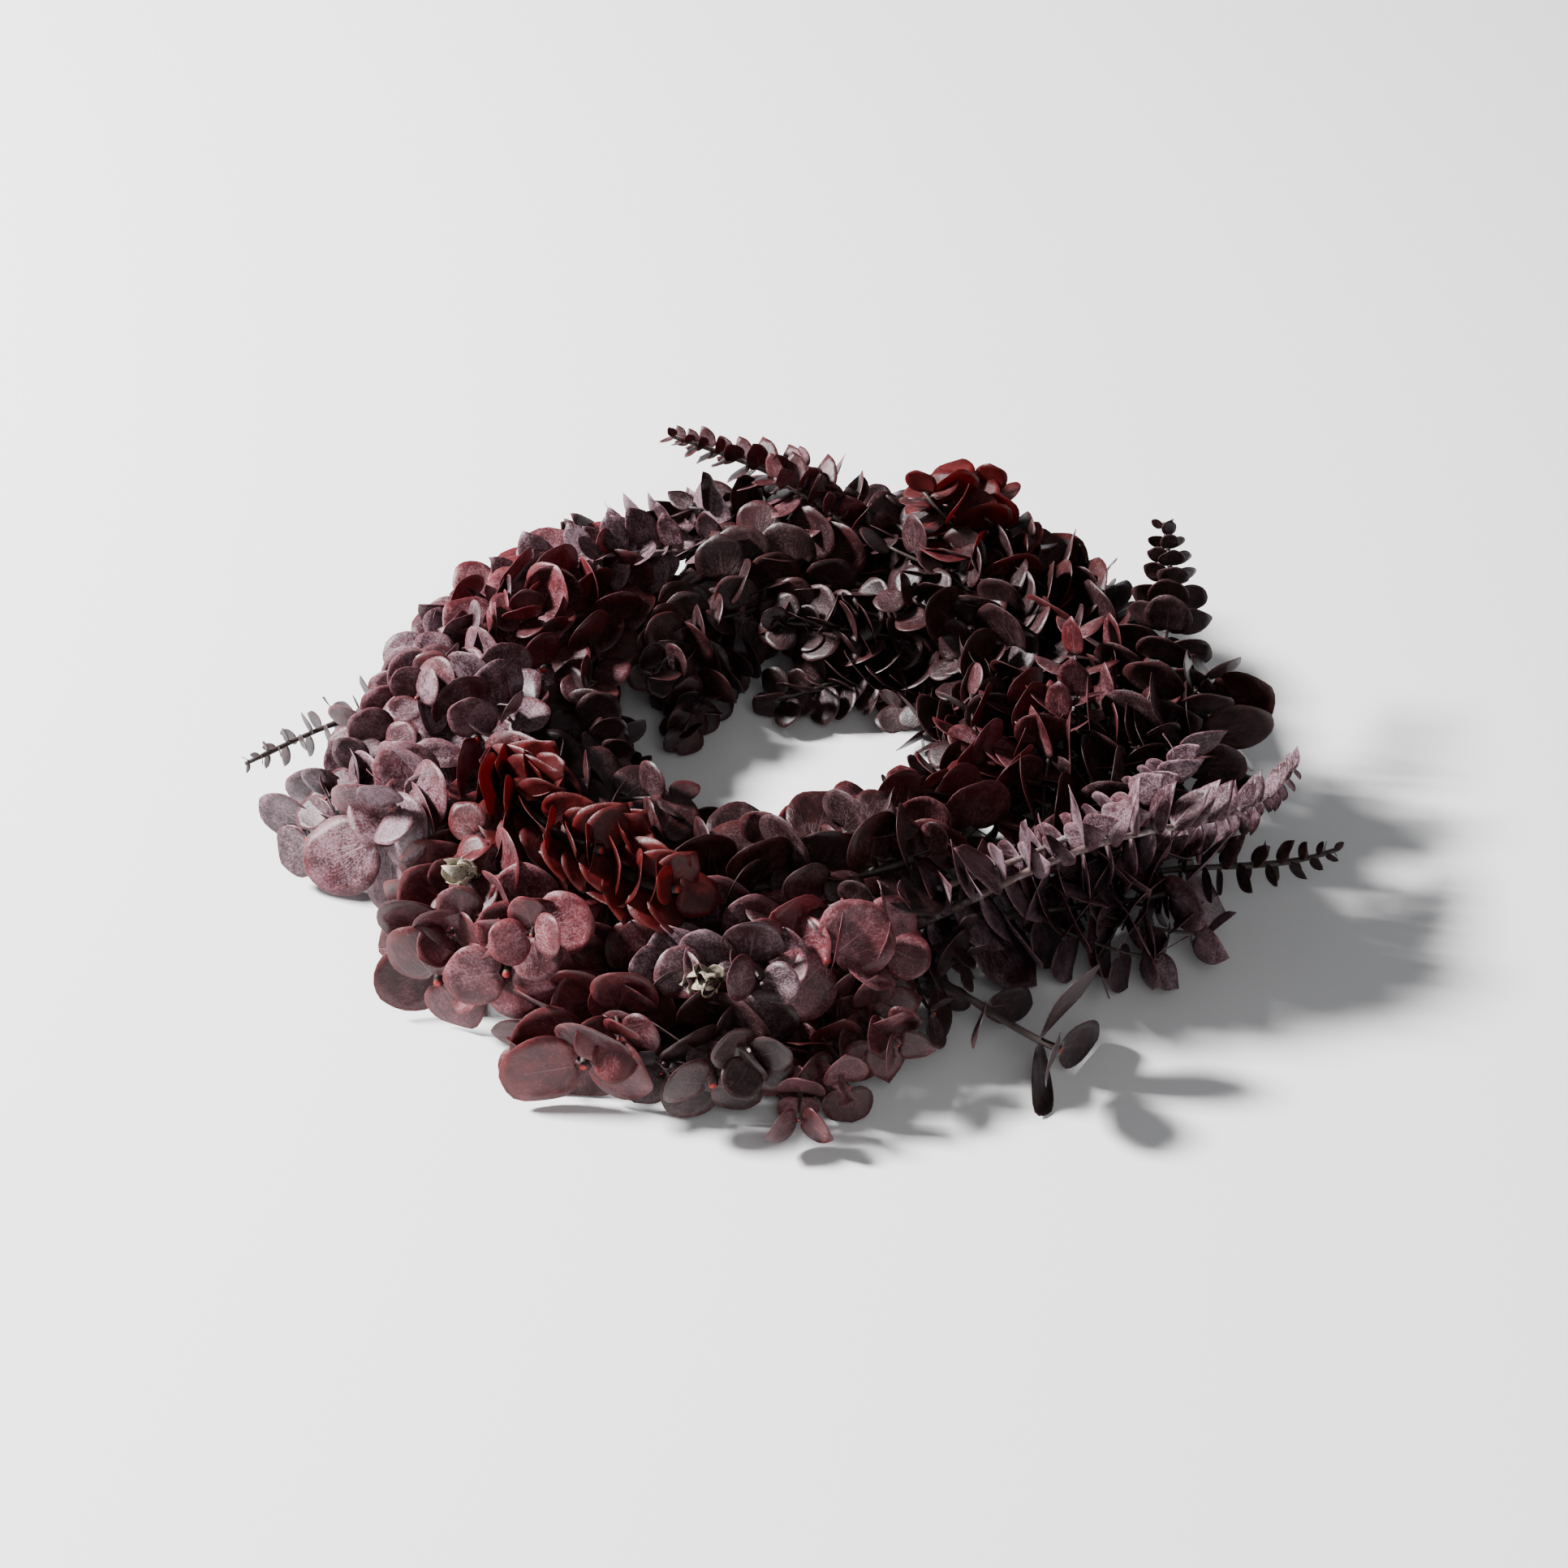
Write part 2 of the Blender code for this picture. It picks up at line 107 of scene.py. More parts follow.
table_mesh = bmesh.new()
bmesh.ops.create_grid(table_mesh, x_segments=1, y_segments=1, size=20)
table = bpy.data.objects.new("table", bpy.data.meshes.new("table"))
table_mesh.to_mesh(table.data)
table_mesh.free()
bpy.context.scene.collection.objects.link(table)
paper = bpy.data.materials.new("pale_paper")
paper.use_nodes = True
paper_shader = paper.node_tree.nodes["Principled BSDF"]
paper_shader.inputs["Base Color"].default_value = (0.92, 0.92, 0.92, 1)
paper_shader.inputs["Roughness"].default_value = 0.9
table.data.materials.append(paper)
print("lamps", [light.name for light in bpy.data.lights], "table", table.name)

# %% [markdown]
# ## Finishes as small node recipes
# Every finish is a tree of nodes. It could be built by hand in the shader editor, but a recipe in
# code can be used again for each dye. A few helpers keep each recipe short: `add` makes a node and
# fills its sockets, and `mix` blends two colours by a mask.

# %% Node helpers
def new_finish(name):
    """A material with a Principled shader, its node tree and the shader."""
    made = bpy.data.materials.new(name)
    made.use_nodes = True
    return made, made.node_tree, made.node_tree.nodes["Principled BSDF"]


def add(tree, kind, sockets=None, **settings):
    """Add a node, set its properties, and fill or link its input sockets."""
    node = tree.nodes.new(kind)
    for key, value in settings.items():
        setattr(node, key, value)
    for key, value in (sockets or {}).items():
        if isinstance(value, bpy.types.NodeSocket):
            tree.links.new(value, node.inputs[key])
        else:
            node.inputs[key].default_value = value
    return node


def maths(tree, operation, one, other=0.0):
    """One step of arithmetic."""
    return add(tree, "ShaderNodeMath", {0: one, 1: other}, operation=operation).outputs[0]


def plus(tree, one, other):
    """The sum of two values."""
    return maths(tree, "ADD", one, other)


def times(tree, one, other):
    """The product of two values."""
    return maths(tree, "MULTIPLY", one, other)


def mix(tree, mask, under, over):
    """Blend two colours by a mask."""
    sockets = {0: mask, 6: under, 7: over}
    return add(tree, "ShaderNodeMix", sockets, data_type="RGBA").outputs[2]


def fade(tree, value, low, high, start=0.0, end=1.0):
    """Spread the span from low to high smoothly over start to end."""
    sockets = {0: value, 1: low, 2: high, 3: start, 4: end}
    return add(tree, "ShaderNodeMapRange", sockets, interpolation_type="SMOOTHSTEP").outputs[0]


def noise(tree, vector, scale, detail, rough):
    """A cloudy pattern from 0 to 1."""
    sockets = {"Vector": vector, "Scale": scale, "Detail": detail, "Roughness": rough}
    return add(tree, "ShaderNodeTexNoise", sockets).outputs[0]


def opaque(colour):
    """A colour with its alpha."""
    return (*colour, 1)


def tinted(colour, red, green, blue):
    """A colour made stronger or weaker in each of its three parts."""
    return (colour[0] * red, colour[1] * green, colour[2] * blue, 1)


# %% [markdown]
# ## What a leaf carries
# All leaves of a sprig are one mesh with one finish, yet no two may look alike. One way is a
# material for each leaf, which would be thousands. Here each leaf carries an attribute named
# `leaf` with three numbers instead: how far a point is from the middle towards the rim, how pale
# the leaf is, and how red it is. The veins read the leaf's own flat map, named `blade`, so that
# they bend with it.

# %% Leaf attribute and veins
def leaf_attribute(tree):
    """The three numbers that each leaf carries: towards the rim, pale, red."""
    leaf = add(tree, "ShaderNodeAttribute", attribute_name="leaf")
    parts = add(tree, "ShaderNodeSeparateXYZ", {0: leaf.outputs["Vector"]})
    return parts.outputs[0], parts.outputs[1], parts.outputs[2]


def vein_masks(tree, pale):
    """Thin veins that fan out from the base with the midrib, and the distance from the base."""
    blade = add(tree, "ShaderNodeUVMap", uv_map="blade").outputs[0]
    flat = add(tree, "ShaderNodeSeparateXYZ", {0: blade})
    side = maths(tree, "SUBTRACT", flat.outputs[0], 0.5)
    along = plus(tree, flat.outputs[1], 0.03)
    turn = maths(tree, "ARCTAN2", side, along)
    squares = plus(tree, maths(tree, "POWER", side, 2), maths(tree, "POWER", along, 2))
    away = maths(tree, "SQRT", squares)
    fan = {0: times(tree, turn, 4.2), 1: times(tree, away, 1.6), 2: times(tree, pale, 37.0)}
    streak = noise(tree, add(tree, "ShaderNodeCombineXYZ", fan).outputs[0], 1.7, 3, 0.55)
    line = maths(tree, "ABSOLUTE", maths(tree, "SUBTRACT", streak, 0.5))
    thin = fade(tree, line, 0.0, 0.028, 1.0, 0.0)
    vein = times(tree, thin, fade(tree, away, 0.15, 0.95, 0.85, 0.1))
    rib = fade(tree, maths(tree, "ABSOLUTE", side), 0.004, 0.018, 1.0, 0.0)
    rib = times(tree, rib, fade(tree, along, 0.1, 0.95, 0.9, 0.0))
    return maths(tree, "MAXIMUM", vein, rib), away


# %% [markdown]
# ## The layers of a leaf's colour
# A preserved leaf is dyed deep burgundy and keeps its pale waxy bloom, rubbed off in patches. A
# single noise gives even spots, which look like paint. So three are added: broad clouds, fine
# grain, and places where a hand rubbed the bloom away. The colour is then laid down as on the
# plant, from the dyed body up: body, bloom, veins, powder near the base, blush and a thin rim.

# %% Leaf colour layers
POWDER = (0.55, 0.49, 0.51, 1)


def leaf_patterns(tree, pale):
    """Broad clouds, fine grain, and how dusty each place is."""
    where = add(tree, "ShaderNodeTexCoord").outputs["Object"]
    clouds = noise(tree, where, 120, 4, 0.62)
    grain = noise(tree, where, 1000, 3, 0.75)
    rubbed = noise(tree, where, 45, 2, 0.5)
    dusty = plus(tree, times(tree, clouds, 0.5), times(tree, grain, 0.9))
    dusty = plus(tree, dusty, times(tree, pale, 0.2))
    dusty = maths(tree, "SUBTRACT", dusty, fade(tree, rubbed, 0.5, 0.66, 0.0, 0.16))
    return clouds, grain, dusty


def dyed_body(tree, look, clouds, ruddy):
    """The dyed leaf under its bloom, redder on some leaves and darker in clouds."""
    body = mix(tree, fade(tree, ruddy, 0.2, 1.0), opaque(look.deep), opaque(look.red))
    shade = tinted(look.deep, 0.4, 0.35, 0.4)
    return mix(tree, fade(tree, clouds, 0.4, 0.62, 0.7, 0.0), body, shade)


def with_bloom(tree, look, body, dusty, vein):
    """The bloom on the dusty places, and lighter veins."""
    cover = fade(tree, dusty, 0.83 - look.cover * 0.4, 1.23 - look.cover * 0.4)
    colour = mix(tree, times(tree, cover, 0.92), body, opaque(look.bloom))
    return mix(tree, times(tree, vein, 0.55), colour, tinted(look.bloom, 1.2, 1.25, 1.2))


def with_powder(tree, colour, away, grain):
    """White powder that gathers where the leaf holds the stem."""
    near = fade(tree, away, 0.03, 0.2, 0.8, 0.0)
    return mix(tree, times(tree, near, fade(tree, grain, 0.35, 0.6)), colour, POWDER)


def with_rim(tree, look, colour, rim, ruddy):
    """A red blush towards the rim, and the thin pale rim itself."""
    blush = times(tree, fade(tree, rim, 0.7, 0.98), fade(tree, ruddy, 0.1, 0.8, 0.1, 0.5))
    colour = mix(tree, blush, colour, opaque(look.red))
    edge = tinted(look.bloom, 0.85, 0.5, 0.5)
    return mix(tree, fade(tree, rim, 0.965, 0.997, 0.0, 0.3), colour, edge)


# %% [markdown]
# ## The leaf finish
# The wax is a little glossy where the bloom is gone and dull where it lies, so the same mask
# drives the roughness. Grain and veins stand up by a fraction of a millimetre, as bump. Leaves
# are thin: against the window they glow red. Subsurface scattering is slow on thousands of thin
# blades, and a Translucent shader mixed in gives the same glow at little cost.

# %% Leaf finish
Look = namedtuple("Look", "deep bloom red glow glow_share cover")


def leaf_finish(name, look):
    """A leaf's colour, wax, relief and glow."""
    made, tree, shader = new_finish(name)
    rim, pale, ruddy = leaf_attribute(tree)
    vein, away = vein_masks(tree, pale)
    clouds, grain, dusty = leaf_patterns(tree, pale)
    body = dyed_body(tree, look, clouds, ruddy)
    colour = with_bloom(tree, look, body, dusty, vein)
    colour = with_powder(tree, colour, away, grain)
    colour = with_rim(tree, look, colour, rim, ruddy)
    tree.links.new(colour, shader.inputs["Base Color"])
    tree.links.new(fade(tree, dusty, 0.6, 1.25, 0.4, 0.62), shader.inputs["Roughness"])
    shader.inputs["Specular IOR Level"].default_value = 0.42
    height = plus(tree, times(tree, grain, 0.4), plus(tree, clouds, times(tree, vein, 0.4)))
    relief = {"Strength": 0.5, "Distance": 0.0006, "Height": height}
    tree.links.new(add(tree, "ShaderNodeBump", relief).outputs[0], shader.inputs["Normal"])
    through = add(tree, "ShaderNodeBsdfTranslucent", {"Color": opaque(look.glow)})
    parts = {0: look.glow_share, 1: shader.outputs[0], 2: through.outputs[0]}
    both = add(tree, "ShaderNodeMixShader", parts)
    tree.links.new(both.outputs[0], tree.nodes["Material Output"].inputs["Surface"])
    return made


# %% [markdown]
# ## The dyes, and a look with painted shade
# One wreath holds sprigs from several dye baths. On the left they keep much lilac bloom, and at
# the front they are pink and burgundy. The nearly black "dark" look is partly a deeper dye and
# partly painted shade: it goes inside, at the back and towards the right, where the wreath lies in
# its own shadow. Two thin stacks at the front and a cluster at the back have little bloom and let
# the light through.

# %% Dyes and painted shade
LEAF_LOOKS = {
    "lilac": Look(
        (0.045, 0.016, 0.02), (0.3, 0.198, 0.232), (0.11, 0.02, 0.024), (0.30, 0.02, 0.02), 0.15, 0.42
    ),
    "pink": Look(
        (0.085, 0.016, 0.02), (0.31, 0.145, 0.165), (0.17, 0.02, 0.025), (0.4, 0.02, 0.02), 0.16, 0.4
    ),
    "burgundy": Look(
        (0.05, 0.009, 0.011), (0.2, 0.09, 0.103), (0.11, 0.011, 0.013), (0.3, 0.012, 0.01), 0.16, 0.3
    ),
    # The dark look: a deeper dye darkened further to nearly black, with a dim bloom, as painted shade.
    "dark": Look(
        (0.022, 0.007, 0.008), (0.115, 0.066, 0.073), (0.06, 0.008, 0.008), (0.2, 0.01, 0.008), 0.12, 0.24
    ),
    "backlit": Look(
        (0.06, 0.005, 0.005), (0.09, 0.022, 0.024), (0.11, 0.007, 0.007), (0.44, 0.012, 0.009), 0.3, 0.1
    ),
}
DRIED_LOOK = Look((0.2, 0.17, 0.1), (0.62, 0.58, 0.46), (0.3, 0.16, 0.1), (0.4, 0.35, 0.2), 0.1, 0.75)

LEAF_FINISHES = {name: leaf_finish("leaf_" + name, look) for name, look in LEAF_LOOKS.items()}
DRIED = leaf_finish("leaf_dried", DRIED_LOOK)
print("leaf finishes", list(LEAF_FINISHES), DRIED.name)

# %% [markdown]
# ## The stem finish
# Young eucalyptus stems are red-brown under the same silvery bloom, which rubs off along ridges.
# A trimmed end shows a round of red wood. The leaf recipe would be wasted on a stem that is two
# or three millimetres thick, so this one has two noises and no veins.

# %% Stem finishes
def stem_finish(name, bark, bloom, cover):
    """Stem with bloom in long patches."""
    made, tree, shader = new_finish(name)
    where = add(tree, "ShaderNodeTexCoord").outputs["Object"]
    clouds = noise(tree, where, 160, 4, 0.6)
    grain = noise(tree, where, 1300, 2, 0.6)
    dusty = plus(tree, times(tree, clouds, 0.8), times(tree, grain, 0.3))
    mask = fade(tree, dusty, 0.75 - cover * 0.5, 1.0 - cover * 0.4)
    tree.links.new(mix(tree, mask, opaque(bark), opaque(bloom)), shader.inputs["Base Color"])
    tree.links.new(fade(tree, grain, 0.3, 0.7, 0.45, 0.75), shader.inputs["Roughness"])
    relief = {"Strength": 0.4, "Distance": 0.0003, "Height": dusty}
    tree.links.new(add(tree, "ShaderNodeBump", relief).outputs[0], shader.inputs["Normal"])
    return made


STEM_PALE = stem_finish("stem_pale", (0.1, 0.055, 0.05), (0.42, 0.38, 0.4), 0.5)
STEM_DARK = stem_finish("stem_dark", (0.03, 0.018, 0.015), (0.14, 0.11, 0.11), 0.15)
CUT_WOOD = stem_finish("stem_cut_wood", (0.26, 0.01, 0.008), (0.42, 0.03, 0.02), 0.3)
print("stem finishes", STEM_PALE.name, STEM_DARK.name, CUT_WOOD.name)

# %% [markdown]
# ## A flat leaf
# A leaf could be drawn as a circle filled with a fan of triangles, but the fan pinches in the
# middle and bends badly. A grid has even faces, and a leaf is nearly a disc: rounding the grid's
# corners off turns one into the other. The disc is then drawn out to the outline of the leaf,
# with a point at its tip and a notch where it holds the stem. Five outlines cover the wreath,
# from the round young leaves to the pointed and the spoon-shaped ones.

# %% Flat leaf blades
Outline = namedtuple("Outline", "width taper point notch")
OUTLINES = {
    "round": Outline(1.06, 0.05, 0.02, 0.1),
    "heart": Outline(0.98, 0.3, 0.1, 0.12),
    "oval": Outline(0.68, 0.16, 0.08, 0.03),
    "ovate": Outline(0.56, 0.34, 0.12, 0.0),
    "spoon": Outline(0.6, -0.3, 0.02, 0.0),
}
BLADE_SQUARES = 6


def outline_place(across, along, outline):
    """Where a point of the disc goes when the disc is drawn out to a leaf."""
    up = (along + 1) / 2
    wide = outline.width / 2 * (1 + outline.taper * (0.5 - up) * 2 * (1 - 0.3 * up))
    tip = outline.point * math.exp(-((across / 0.24) ** 2)) * max(0, up - 0.5) * 2
    notch = outline.notch * math.exp(-((across / 0.2) ** 2)) * max(0, 0.5 - up) * 2
    return across * wide, up + tip + notch, 0


def flat_blade(name, outline):
    """A leaf lying flat, one unit long, with its base at the origin and its tip along +Y."""
    shape = bmesh.new()
    bmesh.ops.create_grid(shape, x_segments=BLADE_SQUARES, y_segments=BLADE_SQUARES, size=1.0)
    mark = shape.verts.layers.float_vector.new("leaf")
    for vert in shape.verts:
        across = vert.co.x * math.sqrt(1 - vert.co.y**2 / 2)
        along = vert.co.y * math.sqrt(1 - vert.co.x**2 / 2)
        vert.co = outline_place(across, along, outline)
        vert[mark] = (math.hypot(across, along), 0, 0)
    sheet = shape.loops.layers.uv.new("blade")
    for face in shape.faces:
        for loop in face.loops:
            loop[sheet].uv = (0.5 + loop.vert.co.x, loop.vert.co.y)
    mesh = bpy.data.meshes.new(name)
    shape.to_mesh(mesh)
    shape.free()
    return mesh


BLADES = {name: flat_blade(name, outline) for name, outline in OUTLINES.items()}
print("blades", {name: len(mesh.polygons) for name, mesh in BLADES.items()})

# %% [markdown]
# ## Bending a leaf
# No two leaves are alike, and a flat one looks like cut paper. Modifiers could bend a leaf, but
# not each leaf of a joined mesh in its own way. So every copy of a flat blade goes through one
# function: it is folded a little along its midrib, cupped, curled along its length, twisted, and
# made uneven at its edge.

# %% Leaf bending
Bend = namedtuple("Bend", "fold cup curl twist ripple")


def bend_point(flat, bend, phase):
    """Where a point of the flat blade goes when the blade is bent."""
    around = math.atan2(flat.x, flat.y - 0.5)
    wave = 0.6 * math.sin(2 * around + phase) + 0.35 * math.sin(5 * around - 2 * phase)
    uneven = 1 + bend.ripple * wave
    across, up = flat.x * uneven, flat.y * (1 + (uneven - 1) * flat.y)
    turn = bend.curl * up
    lift = -bend.fold * abs(across) + bend.cup * (across**2 * 2.2 + (up - 0.5) ** 2 * 0.8 - 0.2)
    lift += bend.ripple * math.sin(3 * around + phase) * (across**2 + (up - 0.5) ** 2) * 2
    straight = abs(bend.curl) < 1e-4
    along = up if straight else math.sin(turn) / bend.curl
    rise = 0 if straight else (1 - math.cos(turn)) / bend.curl
    twist, untwist = math.sin(bend.twist * up), math.cos(bend.twist * up)
    side, lift = across * untwist - lift * twist, across * twist + lift * untwist
    return Vector((side, along - math.sin(turn) * lift, rise + math.cos(turn) * lift))


def leaf_bend(luck):
    """A leaf's own bend."""
    return Bend(
        fold=luck.uniform(0.0, 0.08),
        cup=luck.uniform(-0.12, 0.16),
        curl=luck.uniform(-0.16, 0.22),
        twist=luck.uniform(-0.15, 0.15),
        ripple=luck.uniform(0.015, 0.05),
    )


print("a tip curled by 0.2 goes to", bend_point(Vector((0, 1, 0)), Bend(0, 0, 0.2, 0, 0), 0))

# %% [markdown]
# ## Setting a leaf on its stem
# A leaf needs two directions: the way that it grows and the way that its upper side looks. Three
# axes at right angles make the matrix that turns it there. Objects for every leaf would be slow,
# so the leaf is added to the sprig's own mesh. The lowest leaves would pass through the table;
# they flatten out just above it instead, as the weight of the wreath would press them.

# %% Leaf placing
TABLE_GAP = 0.0009
TABLE_EASE = 0.004


def place_leaf(leaves, blade, base, out, face, length, bend, looks):
    """Add one leaf: out is the way it grows, face the way that its upper side looks."""
    pale, ruddy, phase, finish = looks
    first_vert, first_face = len(leaves.verts), len(leaves.faces)
    leaves.from_mesh(blade)
    leaves.verts.ensure_lookup_table()
    leaves.faces.ensure_lookup_table()
    for added in leaves.faces[first_face:]:
        added.material_index = finish
    mark = leaves.verts.layers.float_vector["leaf"]
    out = out.normalized()
    side = out.cross(face).normalized()
    turn = Matrix((side, out, side.cross(out))).transposed()
    for vert in leaves.verts[first_vert:]:
        vert[mark] = (vert[mark].x, pale, ruddy)
        vert.co = base + turn @ (bend_point(vert.co, bend, phase) * length)
        if vert.co.z < TABLE_GAP + TABLE_EASE:
            depth = (vert.co.z - TABLE_GAP - TABLE_EASE) / TABLE_EASE
            vert.co.z = TABLE_GAP + TABLE_EASE * math.exp(depth)


print("leaves flatten below", TABLE_GAP + TABLE_EASE, "and stop above", TABLE_GAP)

# %% [markdown]
# ## The line that a stem follows
# The binding wire winds round the ring in even turns. Each stem starts in the middle of the bound
# core, leaves it half-way between two turns of the wire, and spreads to its tip. The same rule
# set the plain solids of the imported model, so stems and solids agree. Free-hand curves would look
# as good from above, but they would run through the wire.

# %% Stem lines
CORE_RADIUS, CORE_HEIGHT = 0.130, 0.0225
WINDING_HALF_WIDTH, WINDING_HALF_HEIGHT = 0.0265, 0.0215
WINDING_PITCH = 15.0
STEM_START = 0.006
STEM_STEPS = 60


def across_section(radius, height, arch):
    """A stem seen in the ring's section: share of its length, way out and way up from the core."""
    rise, reach = height - CORE_HEIGHT, radius - CORE_RADIUS
    start = STEM_START / math.hypot(reach, rise)
    section = []
    for step in range(STEM_STEPS + 1):
        share = step / STEM_STEPS
        out = start + (1 - start) * share
        bump = arch * math.sin(math.pi * share) ** 2
        section.append((share, reach * out, rise * out + bump))
    return section


def way_out(section):
    """Where a stem passes the winding: the share of its length, and its turn round the core."""
    for (low, x0, z0), (high, x1, z1) in zip(section, section[1:]):
        inner = math.hypot(x0 / WINDING_HALF_WIDTH, z0 / WINDING_HALF_HEIGHT)
        outer = math.hypot(x1 / WINDING_HALF_WIDTH, z1 / WINDING_HALF_HEIGHT)
        if inner <= 1 < outer:
            part = (1 - inner) / (outer - inner)
            up = (z0 + (z1 - z0) * part) / WINDING_HALF_HEIGHT
            across = (x0 + (x1 - x0) * part) / WINDING_HALF_WIDTH
            return low + (high - low) * part, math.atan2(up, across)
    return 1.0, 0.0


def stem_line(sprig):
    """Points along a stem, and the share of it that the binding wire covers."""
    section = across_section(sprig.radius, sprig.height, sprig.arch)
    bound, turned = way_out(section)
    leaves_at = WINDING_PITCH * (sprig.turn + 0.25 + turned / (2 * math.pi))
    butt = (leaves_at - bound * sprig.angle) / (1 - bound)
    points = []
    for share, x, z in section:
        around = math.radians(butt + (sprig.angle - butt) * share)
        out = CORE_RADIUS + x
        points.append(Vector((out * math.cos(around), out * math.sin(around), CORE_HEIGHT + z)))
    return points, bound


class Line:
    """A smooth line through points: a place and a heading at any share of its length."""

    def __init__(self, points):
        self.points = points
        self.marks = [0.0]
        for one, other in zip(points, points[1:]):
            self.marks.append(self.marks[-1] + (other - one).length)
        self.length = self.marks[-1]

    def at(self, share):
        """The place at a share of the length."""
        goal = min(max(share, 0), 1) * self.length
        for index in range(1, len(self.marks)):
            if self.marks[index] >= goal or index == len(self.marks) - 1:
                before = self.marks[index - 1]
                part = (goal - before) / (self.marks[index] - before)
                return self.points[index - 1].lerp(self.points[index], part)

    def heading(self, share):
        """The way that the line runs at a share of the length."""
        return (self.at(share + 0.02) - self.at(share - 0.02)).normalized()


print("turns of wire round the ring", 360 / WINDING_PITCH)

# %% [markdown]
# ## A stem
# A curve with a round bevel would give a plain tube. A real stem swells a little at each pair of
# leaves, so here a ring of edges is extruded along the line, step by step, and its size follows
# the nodes. The last ring is closed with a face that can show cut wood.

# %% Stem building
STEM_STEP = 0.006
NODE_REACH = 0.0016
NODE_SWELL = 0.35


def ring_matrix(place, heading, size):
    """Turn and scale a flat ring so that it stands across a heading at a place."""
    turn = heading.to_track_quat("Z", "Y").to_matrix().to_4x4()
    return Matrix.Translation(place) @ turn @ Matrix.Scale(size, 4)


def stem_size(line, butt, tip, stop, nodes):
    """How thick the stem is at a share of its length."""
    bulges = [math.exp(-(((stop - node) * line.length / NODE_REACH) ** 2)) for node in nodes]
    return (butt + (tip - butt) * stop) * (1 + NODE_SWELL * max(bulges or [0]))


def first_ring(stem, matrix, sides):
    """The closed butt of a stem: its points and its edges."""
    made = bmesh.ops.create_circle(stem, cap_ends=True, segments=sides, radius=1)["verts"]
    bmesh.ops.transform(stem, matrix=matrix, verts=made)
    return list(made[0].link_faces[0].edges)


def build_stem(stem, line, butt, tip, nodes, sides=8):
    """Add a closed stem along a line."""
    steps = max(6, int(line.length / STEM_STEP))
    stops = [step / steps for step in range(steps + 1)]
    rings = []
    for stop in stops:
        size = stem_size(line, butt, tip, stop, nodes)
        rings.append(ring_matrix(line.at(stop), line.heading(stop), size))
    ring = first_ring(stem, rings[0], sides)
    for before, after in zip(rings, rings[1:]):
        grown = bmesh.ops.extrude_edge_only(stem, edges=ring)["geom"]
        ends = [part for part in grown if isinstance(part, bmesh.types.BMVert)]
        edges = [part for part in grown if isinstance(part, bmesh.types.BMEdge)]
        ring = [edge for edge in edges if all(vert in ends for vert in edge.verts)]
        bmesh.ops.transform(stem, matrix=after @ before.inverted(), verts=ends)
    for face in bmesh.ops.contextual_create(stem, geom=ring)["faces"]:
        face.material_index = 1
    bmesh.ops.recalc_face_normals(stem, faces=stem.faces)
    return stem


def finished_piece(name, shape, finishes, node):
    """Turn a bmesh into a smooth piece of the wreath that stands for a CAD node."""
    for face in shape.faces:
        face.smooth = True
    mesh = bpy.data.meshes.new(name)
    shape.to_mesh(mesh)
    shape.free()
    for finish in finishes:
        mesh.materials.append(finish)
    piece = bpy.data.objects.new(name, mesh)
    bpy.context.scene.collection.objects.link(piece)
    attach(piece, "wreath")
    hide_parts(node)
    return piece


trial = Line([Vector((0, 0, 0)), Vector((0.1, 0, 0))])
plain_size = stem_size(trial, 0.001, 0.001, 0.2, [0.5])
node_size = stem_size(trial, 0.001, 0.001, 0.5, [0.5])
print("a stem 1 mm in radius is", plain_size, "between nodes and", node_size, "at one")

# %% [markdown]
# ## How the sprigs grow
# Eucalyptus grows in a few ways, by age and by kind. Each sprig could be posed by hand, but a
# habit, shared by the sprigs that grow alike, keeps them believable. It names the outline of the
# leaves, how far a pair leans forward in degrees, the spacing of pairs in millimetres, the turn
# from one pair to the next, how far the leaves turn to face out of the bundle, the number of side
# shoots, how far these spread and reach ahead in millimetres, and the share of the stem that
# carries them. The rest of the stem stands free.

# %% Habits
Habit = namedtuple("Habit", "outline lean gap step turned shoots spread ahead leafy_share")
HABITS = {
    "leafy": Habit("round", 20, 14, 90, 0.72, 3, 22, 4, 1.0),
    "flat": Habit("round", 30, 12, 90, 0.6, 2, 18, 4, 1.0),
    "slender": Habit("oval", 24, 12, 90, 0.6, 3, 20, 4, 1.0),
    "rosette": Habit("round", 18, 14, 90, 0.45, 3, 24, 0, 1.0),
    "hanging": Habit("heart", 15, 12, 90, 0.5, 4, 26, 4, 1.0),
    "ladder": Habit("ovate", 0, 12, 180, 0.22, 0, 18, 0, 0.8),
    "thin_tip": Habit("oval", 6, 9.5, 90, 0.0, 2, 16, 0, 0.5),
    "stacked": Habit("round", 3, 10, 90, 0.0, 0, 16, 0, 0.55),
    "drooping": Habit("oval", 25, 8, 90, 0.6, 3, 14, 0, 0.7),
    "shingled": Habit("heart", 48, 8.5, 90, 0.35, 1, 12, 0, 1.0),
    "twig": Habit("spoon", 25, 24, 90, 0.1, 3, 18, 0, 0.5),
    "crest": Habit("round", 20, 13, 90, 0.72, 3, 22, 14, 1.0),
    "inner": Habit("round", 20, 11, 90, 0.7, 7, 20, 34, 1.0),
}
print("habits", list(HABITS))

# %% [markdown]
# ## The sprigs
# One line for each sprig, so that any of them can be moved without touching the rest. The first
# numbers place it: the turn of wire that it leaves the core after, and the angle, distance,
# height and arch of its tip. Then come its looks: the length of its leaves in the middle and at
# the tip in millimetres, its habit and dye, how pale and how red its leaves are, the roll of the
# first pair, and how it ends. A sprig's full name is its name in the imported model.

